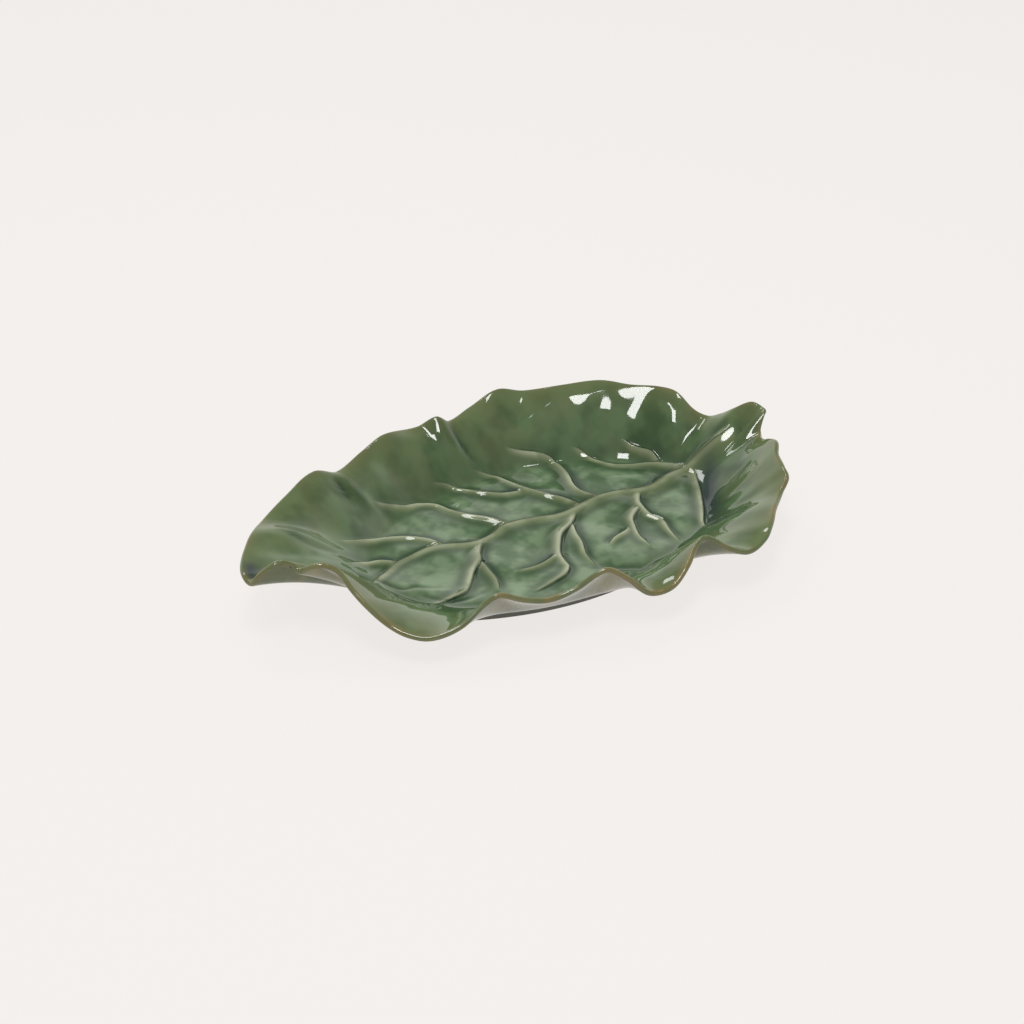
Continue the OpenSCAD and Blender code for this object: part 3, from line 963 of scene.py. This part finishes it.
@dataclass(frozen=True)
class WipedFoot:
    """Glazed stoneware foot with a wiped tread.

    Its side is satin grey, which the blade's shade makes dark, and bare gritty clay shows where it stands.
    """

    name: str = "dark_glazed_stoneware_with_wiped_tread"
    side: str = "#9a9c90"
    grit: str = "#6f6250"
    clay: Coat = Coat("#8d7d66", "grit")
    grit_mm: float = 0.8
    grit_detail: float = 3.0
    grit_depth_mm: float = 0.1
    grit_strength: float = 0.6
    side_roughness: float = 0.25
    clay_roughness: float = 0.8

    def build(self) -> bpy.types.Material:
        """Builds the material, which reads the attribute tread.

        Returns:
            The material.
        """
        material = bpy.data.materials.new(self.name)
        tree = empty_tree(material)
        place = add_node(tree, "ShaderNodeTexCoord").outputs["Object"]
        tread = add_node(tree, "ShaderNodeAttribute", {"attribute_name": "tread"}).outputs["Fac"]
        grit = add_node(tree, "ShaderNodeTexNoise", {}, {
            "Vector": place, "Scale": 1 / (self.grit_mm * MM), "Detail": self.grit_detail}).outputs["Fac"]
        speck = paint(tree, {"grit": grit}, linear(self.grit), (self.clay,))
        body = add_node(tree, "ShaderNodeMix", {"data_type": "RGBA"}, {0: tread, 6: linear(self.side), 7: speck})
        rough = add_node(tree, "ShaderNodeMapRange", {}, {
            "Value": tread, "To Min": self.side_roughness, "To Max": self.clay_roughness})
        bump = add_node(tree, "ShaderNodeBump", {}, {
            "Strength": self.grit_strength, "Distance": self.grit_depth_mm * MM, "Height": grit})
        clay = add_node(tree, "ShaderNodeBsdfPrincipled", {}, {
            "Base Color": body.outputs[2], "Roughness": rough.outputs[0], "Normal": bump.outputs[0]})
        add_node(tree, "ShaderNodeOutputMaterial", {}, {"Surface": clay.outputs[0]})
        return material


@dataclass
class Blade:
    """The leaf's body: upper face with its relief, rounded lip, and smooth underside.

    The brown of its edge is a mean share with a swing, the most at the near side.
    """

    form: LeafForm
    skin: Skin
    knot_steps: int = 7
    floor_rings: int = 84
    wall_rings: int = 48
    lip_rings: int = 9
    under_rings: int = 24
    seat_rings: int = 6
    edge_mm: float = 1.5
    edge_mean: float = 0.65
    edge_swing: float = 0.35

    def bearings(self) -> Array:
        """Bearings of the mesh: even steps between each two rim knots."""
        knots = np.append(RIM[:, 0], RIM[0, 0] + 360)
        return np.interp(np.arange(len(RIM) * self.knot_steps) / self.knot_steps, np.arange(len(knots)), knots)

    def build(self) -> bpy.types.Object:
        """Builds the blade as rings of points from the floor's centre, over the lip, to the underside's centre.

        A floor ring lies at a share of the floor's own reach. A wall ring lies at a share of the way to the rim. The
        lip is a half circle. The underside is the smooth upper face moved in by the wall's thickness, along its
        normals. The bed under the ribs doesn't count for the shading.

        Returns:
            The blade.
        """
        form, bearing = self.form, self.bearings()
        centre = np.arange(1, self.floor_rings + 1) / self.floor_rings
        wall = np.arange(1, self.wall_rings + 1) / self.wall_rings
        share = np.concatenate([centre - 1, wall])[:, None] + np.zeros_like(bearing)
        floor, rim = form.floor_reach(bearing), form.rim(bearing)[0]
        reach = np.where(share > 0, floor + (rim - floor) * share, floor * (1 + share))
        plan = form.spots(reach, bearing)
        smooth = at_height(plan, form.height_at(np.broadcast_to(bearing, share.shape), share))
        face = self.skin.at(plan)
        upper = at_height(plan, face["height"] - face["bed"])
        lip, under = self.lip_and_under(smooth, share)
        seat = self.seat(smooth[self.floor_rings - 1])
        rings = np.concatenate([upper, lip, under, seat])
        level = np.concatenate([at_height(plan, face["height"]), rings[len(upper):]])
        normals = unit(np.cross(np.gradient(level, axis=0), np.roll(level, -1, axis=1) - np.roll(level, 1, axis=1)))
        poles = np.array((
            (form.foot_shift, 0.0, upper[0, :, 2].mean()), (form.foot_shift, 0.0, form.foot_height)))
        zeros = np.zeros((len(rings) - len(upper), len(bearing)))
        attributes = {key: np.concatenate([face[key], zeros]) for key in self.skin.GLAZE}
        attributes["wall"][len(upper):] = 1.0
        turned = np.concatenate([np.zeros(len(upper)), np.linspace(0, 1, len(lip)), np.ones(len(zeros) - len(lip))])
        attributes["under"] = turned[:, None] + np.zeros_like(bearing)
        edge = np.concatenate([
            bell(np.linalg.norm(upper - upper[-1], axis=-1), self.edge_mm), np.ones(lip.shape[:2]),
            bell(np.linalg.norm(under - lip[-1], axis=-1), self.edge_mm), np.zeros(seat.shape[:2])])
        attributes["edge"] = edge * (self.edge_mean - self.edge_swing * np.sin(np.radians(bearing)))
        return put_mesh("glazed_leaf_blade", rings, poles, attributes, normals)

    def lip_and_under(self, smooth: Array, share: Array) -> tuple[Array, Array]:
        """The rounded lip and the wall's underside.

        Args:
            smooth: Rings of the upper face without its relief.
            share: Each point's share of the way to the rim.

        Returns:
            Rings of the lip, and rings of the underside from the rim inwards.
        """
        form = self.form
        outward = np.gradient(smooth, axis=0)
        around = np.roll(smooth, -1, axis=1) - np.roll(smooth, 1, axis=1)
        normal = unit(np.cross(outward, around))
        rim_out = unit(smooth[-1] - smooth[-2])
        rim_up = unit(normal[-1] - (normal[-1] * rim_out).sum(-1, keepdims=True) * rim_out)
        half = form.lip / 2
        turn = np.linspace(0, np.pi, self.lip_rings + 2)[1:, None, None]
        lip = smooth[-1] - rim_up * half + half * (np.cos(turn) * rim_up + np.sin(turn) * rim_out)
        pick = np.linspace(len(smooth) - 2, self.floor_rings, self.under_rings).round().astype(int)
        thick = form.wall + (form.lip - form.wall) * share[pick]
        under = smooth[pick] - normal[pick] * thick[..., None]
        under[..., 2] = np.maximum(under[..., 2], form.foot_height)
        return lip, under

    def seat(self, floor_edge: Array) -> Array:
        """Flat rings of the underside, from the floor's edge to near its centre, level with the foot ring's top."""
        middle = np.array((self.form.foot_shift, 0.0, self.form.foot_height))
        return middle + np.multiply.outer(
            np.linspace(1, 1 / self.seat_rings, self.seat_rings), (floor_edge - middle) * (1, 1, 0))


@dataclass
class RibPiece:
    """A rib as a closed strip on the blade: a soft flank, a narrow crest, a crisp flank and the groove beside it.

    Places across it run from -1 to 0 on the soft flank, from 0 to 1 on the crisp one and from 1 to 2 in the groove.
    """

    skin: Skin
    soft_points: int = 14
    crisp_points: int = 9
    groove_points: int = 9
    under_places: Way = (1.2, 0.2, -0.6)
    soft_edge: Span = (0.7, 1.0)
    groove_edge: Span = (1.6, 2.0)
    root: Span = (0.0, 0.04)
    tip: Span = (0.95, 1.0)
    stand: float = 0.12
    skin_mm: float = 0.04
    edge_dip_mm: float = 0.06
    end_dip_mm: float = 0.35
    sunk_mm: float = 1.2

    def section(self) -> tuple[Array, Array, Array]:
        """The strip's section.

        The soft flank is a raised cosine that leaves the blade without an angle. The crisp flank is a parabola that
        meets the groove in a crease. The strip's edges dip into the blade.

        Returns:
            Place across, share of the rib's height, and height over the blade in millimetres.
        """
        soft = np.linspace(-1, 0, self.soft_points, endpoint=False)
        crisp = np.linspace(0, 1, self.crisp_points, endpoint=False)
        groove = np.linspace(1, 2, self.groove_points)
        place = np.concatenate([soft, crisp, groove])
        back = np.concatenate([0.5 + 0.5 * np.cos(np.pi * soft), 1 - crisp**2, np.zeros_like(groove)])
        edges = np.maximum(ramp(-place, *self.soft_edge), ramp(place, *self.groove_edge))
        return place, back, self.skin_mm - (self.skin_mm + self.edge_dip_mm) * edges

    def build(self, rib: Rib) -> bpy.types.Object:
        """Builds one rib: its section carried along its line, over the blade's own relief.

        Args:
            rib: The rib.

        Returns:
            The piece.
        """
        place, back, over = self.section()
        across = np.concatenate([place, self.under_places])
        half, taper = rib.half_width[:, None], rib.taper[:, None]
        offset = rib.plan.crisp.value * (
            np.minimum(across, 0.0) * self.skin.SOFT_SPREAD * half
            + np.clip(across, 0.0, 1.0) * self.skin.CRISP_SPREAD * half
            + np.maximum(across - 1, 0.0) * self.skin.groove_width(taper))
        plan = rib.line[:, None] + rib.left[:, None] * offset[..., None]
        face = self.skin.at(plan)
        share = np.linspace(0.0, 1.0, len(rib.line))[:, None]
        sunk = ramp(share, *self.tip) + (0.0 if rib.plan.parent else 1 - ramp(share, *self.root))
        ridge = self.stand * back * rib.height[:, None]
        top = ridge + over - self.end_dip_mm * sunk
        lift = np.concatenate([top, np.full((len(rib.line), len(self.under_places)), -self.sunk_mm)], axis=1)
        rings = at_height(plan, face["height"] + lift)
        attributes = {key: face.get(key, np.zeros_like(offset)) for key in ReactiveGlaze.ATTRIBUTES}
        poles = rings[[0, -1]].mean(axis=1)
        level = at_height(plan[:, :len(place)], face["height"][:, :len(place)] + ridge)
        normals = np.zeros_like(rings)
        normals[..., 2] = -1.0
        normals[:, :len(place)] = unit(rib.plan.crisp.value * np.cross(*np.gradient(level, axis=(0, 1))))
        if rib.plan.crisp is Crisp.RIGHT:
            rings, normals = rings[:, ::-1], normals[:, ::-1]
            attributes = {key: values[:, ::-1] for key, values in attributes.items()}
        return put_mesh("glazed_" + rib.plan.name, rings, poles, attributes, normals)


@dataclass
class FootRing:
    """The oval foot: a rounded section carried round four arcs."""

    form: LeafForm
    end_radius: float = 44.0
    thick: float = 6.0
    tread_round: float = 0.8
    tread_rise: Span = (0.15, 0.6)
    flare: float = 1.4
    arc_steps: int = 60
    round_steps: int = 7

    def path(self) -> tuple[Array, Array]:
        """The oval: two end arcs and two side arcs that run into each other smoothly.

        Returns:
            Plan points, counter-clockwise, and the outward direction at each.
        """
        end_x = self.form.foot_length / 2 - self.end_radius
        spare = self.form.foot_width / 2 - self.end_radius
        side_y = (end_x**2 - spare**2) / (2 * spare)
        side_radius = self.form.foot_width / 2 + side_y
        half = np.degrees(np.arctan2(side_y, end_x))
        arcs = (
            ((end_x, 0.0), self.end_radius, -half, half),
            ((0.0, -side_y), side_radius, half, 180 - half),
            ((-end_x, 0.0), self.end_radius, 180 - half, 180 + half),
            ((0.0, side_y), side_radius, 180 + half, 360 - half),
        )
        turn = np.radians(np.concatenate([np.linspace(a, b, self.arc_steps, endpoint=False) for *_, a, b in arcs]))
        centre = np.repeat(np.array([arc[0] for arc in arcs]), self.arc_steps, axis=0)
        radius = np.repeat(np.array([arc[1] for arc in arcs]), self.arc_steps)
        out = np.stack([np.cos(turn), np.sin(turn)], axis=1)
        return centre + out * radius[:, None] + (self.form.foot_shift, 0.0), out

    def section(self) -> Array:
        """The ring's section: up its outer side, across its seat and down inside.

        Returns:
            Offsets outwards and heights.
        """
        turn = np.linspace(0, np.pi / 2, self.round_steps)
        corner = self.tread_round * np.stack([np.sin(turn) - 1, 1 - np.cos(turn)], axis=1)
        cove = self.flare * np.stack([1 - np.cos(turn), np.sin(turn)], axis=1)
        outer = np.concatenate([corner, cove + (0, self.form.foot_height - self.flare)])
        inner = outer[::-1] * (-1, 1) + (-self.thick, 0)
        return np.concatenate([outer, inner])

    def build(self) -> bpy.types.Object:
        """Builds the ring: its section carried round the oval.

        Returns:
            The piece.
        """
        plan, out = self.path()
        section = self.section()
        spots = plan[:, None] + out[:, None] * section[None, :, :1]
        heights = np.broadcast_to(section[:, 1], spots.shape[:2])
        tread = {"tread": 1 - ramp(heights, *self.tread_rise)}
        return put_mesh("oval_foot_ring", at_height(spots, heights), None, tread)


@dataclass(frozen=True)
class Softbox:
    """A rectangular studio lamp that looks at the plate, with its distance and sizes in metres."""

    name: str
    bearing: float
    elevation: float
    distance: float
    width: float
    height: float
    radiance: float

    def build(self) -> None:
        """Hangs the lamp."""
        away = way_to(self.bearing, self.elevation)
        lamp = bpy.data.lights.new(self.name, "AREA")
        lamp.shape = "RECTANGLE"
        lamp.size, lamp.size_y = self.width, self.height
        lamp.energy = self.radiance * np.pi * self.width * self.height
        put_object(self.name, lamp, away * self.distance, -away).visible_camera = False


@dataclass
class Studio:
    """Floor, surroundings, lamps and camera.

    The surroundings are levels of light: a dim ceiling, a sweep of paper behind, part of it only low down, and a
    reflector in front. Each has the way that it lies, and a span of heights or of closeness to that way over which it
    sets in. The floor's radius is in metres, and it lies a hair below the tread.
    """

    paper: str = "#f4f0ed"
    floor_radius: float = 6.0
    floor_sides: int = 96
    floor_drop: float = 0.03
    floor_glow: float = 0.9
    sweep: float = 1.35
    ceiling: float = 0.30
    sweep_way: Way = (0.56, 0.83, 0.0)
    sweep_side: Span = (-0.1, 0.5)
    sweep_top: Span = (0.74, 0.50)
    sweep_low: Span = (0.46, 0.25)
    low_part: float = 0.28
    reflector: float = 0.2
    reflector_way: Way = (-0.16, -0.60, 0.79)
    reflector_side: Span = (0.90, 0.985)
    aim: Way = (4.0, 16.0, 15.0)
    bearing: float = 34.0
    elevation: float = 30.0
    distance: float = 1021.0
    lens: float = 70.0
    sensor: float = 36.0
    lamps: tuple[Softbox, ...] = (
        Softbox("key_softbox_overhead", -136.0, 70.0, 1.6, 0.36, 0.58, 18.5),
        Softbox("small_softbox_overhead", 107.0, 74.0, 1.6, 0.16, 0.14, 15.0),
        Softbox("strip_softbox_behind", 0.0, 57.0, 1.6, 0.60, 0.26, 9.0),
    )

    def build(self) -> None:
        """Builds the studio."""
        self.floor()
        self.world()
        for lamp in self.lamps:
            lamp.build()
        self.camera()
        bpy.context.scene.view_settings.view_transform = "Standard"

    def floor(self) -> None:
        """A pale paper floor: part of what the camera and reflections see of it glows evenly, the rest is lit."""
        turn = np.linspace(0, 2 * np.pi, self.floor_sides, endpoint=False)
        plan = np.stack([np.cos(turn), np.sin(turn)], axis=1) * self.floor_radius
        edge = at_height(plan, np.full_like(turn, -self.floor_drop * MM))
        mesh = bpy.data.meshes.new("paper_floor")
        mesh.from_pydata(edge.tolist(), [], [list(range(len(edge)))])
        floor = put_object("paper_floor", mesh)
        material = bpy.data.materials.new("matt_background_paper")
        tree = empty_tree(material)
        lit = add_node(tree, "ShaderNodeBsdfDiffuse", {}, {"Color": linear(self.paper)})
        glow = add_node(tree, "ShaderNodeEmission", {}, {"Color": linear(self.paper), "Strength": 1.0})
        path = add_node(tree, "ShaderNodeLightPath").outputs
        seen = path["Is Camera Ray"]
        for ray in ("Is Glossy Ray", "Is Transmission Ray"):
            seen = add_node(tree, "ShaderNodeMath", {"operation": "MAXIMUM"}, {0: seen, 1: path[ray]}).outputs[0]
        part = add_node(tree, "ShaderNodeMath", {"operation": "MULTIPLY"}, {0: seen, 1: self.floor_glow})
        both = add_node(tree, "ShaderNodeMixShader", {}, {0: part.outputs[0], 1: lit.outputs[0], 2: glow.outputs[0]})
        add_node(tree, "ShaderNodeOutputMaterial", {}, {"Surface": both.outputs[0]})
        mesh.materials.append(material)

    def world(self) -> None:
        """Dim surroundings with a sweep of paper behind, soft at its top, and a reflector in front."""
        world = bpy.data.worlds.new("studio")
        bpy.context.scene.world = world
        tree = empty_tree(world)
        way = add_node(tree, "ShaderNodeTexCoord").outputs["Generated"]
        up = add_node(tree, "ShaderNodeSeparateXYZ", {}, {0: way}).outputs["Z"]
        back, front = (
            add_node(tree, "ShaderNodeVectorMath", {"operation": "DOT_PRODUCT"}, {0: way, 1: facing}).outputs["Value"]
            for facing in (self.sweep_way, self.reflector_way))
        behind, top, low, board = (
            add_node(tree, "ShaderNodeMapRange", {"interpolation_type": "SMOOTHSTEP"}, {
                "Value": value, "From Min": start, "From Max": end, "To Max": most}).outputs[0]
            for value, (start, end), most in (
                (back, self.sweep_side, 1.0), (up, self.sweep_top, 1 - self.low_part),
                (up, self.sweep_low, self.low_part), (front, self.reflector_side, self.reflector)))
        high = add_node(tree, "ShaderNodeMath", {"operation": "ADD"}, {0: top, 1: low})
        glow = add_node(tree, "ShaderNodeMath", {"operation": "MULTIPLY"}, {0: behind, 1: high.outputs[0]})
        level = add_node(tree, "ShaderNodeMapRange", {}, {
            "Value": glow.outputs[0], "To Min": self.ceiling, "To Max": self.sweep})
        both = add_node(tree, "ShaderNodeMath", {"operation": "ADD"}, {0: level.outputs[0], 1: board})
        sky = add_node(tree, "ShaderNodeBackground", {}, {"Color": linear(self.paper), "Strength": both.outputs[0]})
        add_node(tree, "ShaderNodeOutputWorld", {}, {"Surface": sky.outputs[0]})

    def camera(self) -> None:
        """A camera at the photograph's angle, which looks at the aim from a bearing and an elevation."""
        ahead = way_to(self.bearing, -self.elevation)
        camera = bpy.data.cameras.new("camera")
        camera.lens, camera.sensor_width = self.lens, self.sensor
        place = (Vector(self.aim) - ahead * self.distance) * MM
        bpy.context.scene.camera = put_object("camera", camera, place, ahead)


def dress(piece: bpy.types.Object, material: bpy.types.Material, slot: str, *nodes: str) -> None:
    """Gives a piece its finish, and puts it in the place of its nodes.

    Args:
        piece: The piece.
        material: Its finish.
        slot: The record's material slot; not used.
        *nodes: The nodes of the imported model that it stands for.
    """
    piece.data.materials.append(material)
    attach(piece, "root")
    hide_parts(*nodes)
    log.info("%s: %d faces", piece.name, len(piece.data.polygons))


def main() -> None:
    """Builds the plate and its studio."""
    logging.basicConfig(level=logging.INFO)
    form = LeafForm()
    skin = Skin(form, RIBS, CREASES)
    glaze = ReactiveGlaze().build()
    dress(Blade(form, skin).build(), glaze, "green_glaze", "leaf_blade")
    maker = RibPiece(skin)
    for rib in skin.ribs.values():
        dress(maker.build(rib), glaze, "vein_glaze", rib.plan.name)
    dress(FootRing(form).build(), WipedFoot().build(), "foot_clay", "foot_ring")
    Studio().build()


if __name__ == "__main__":
    main()
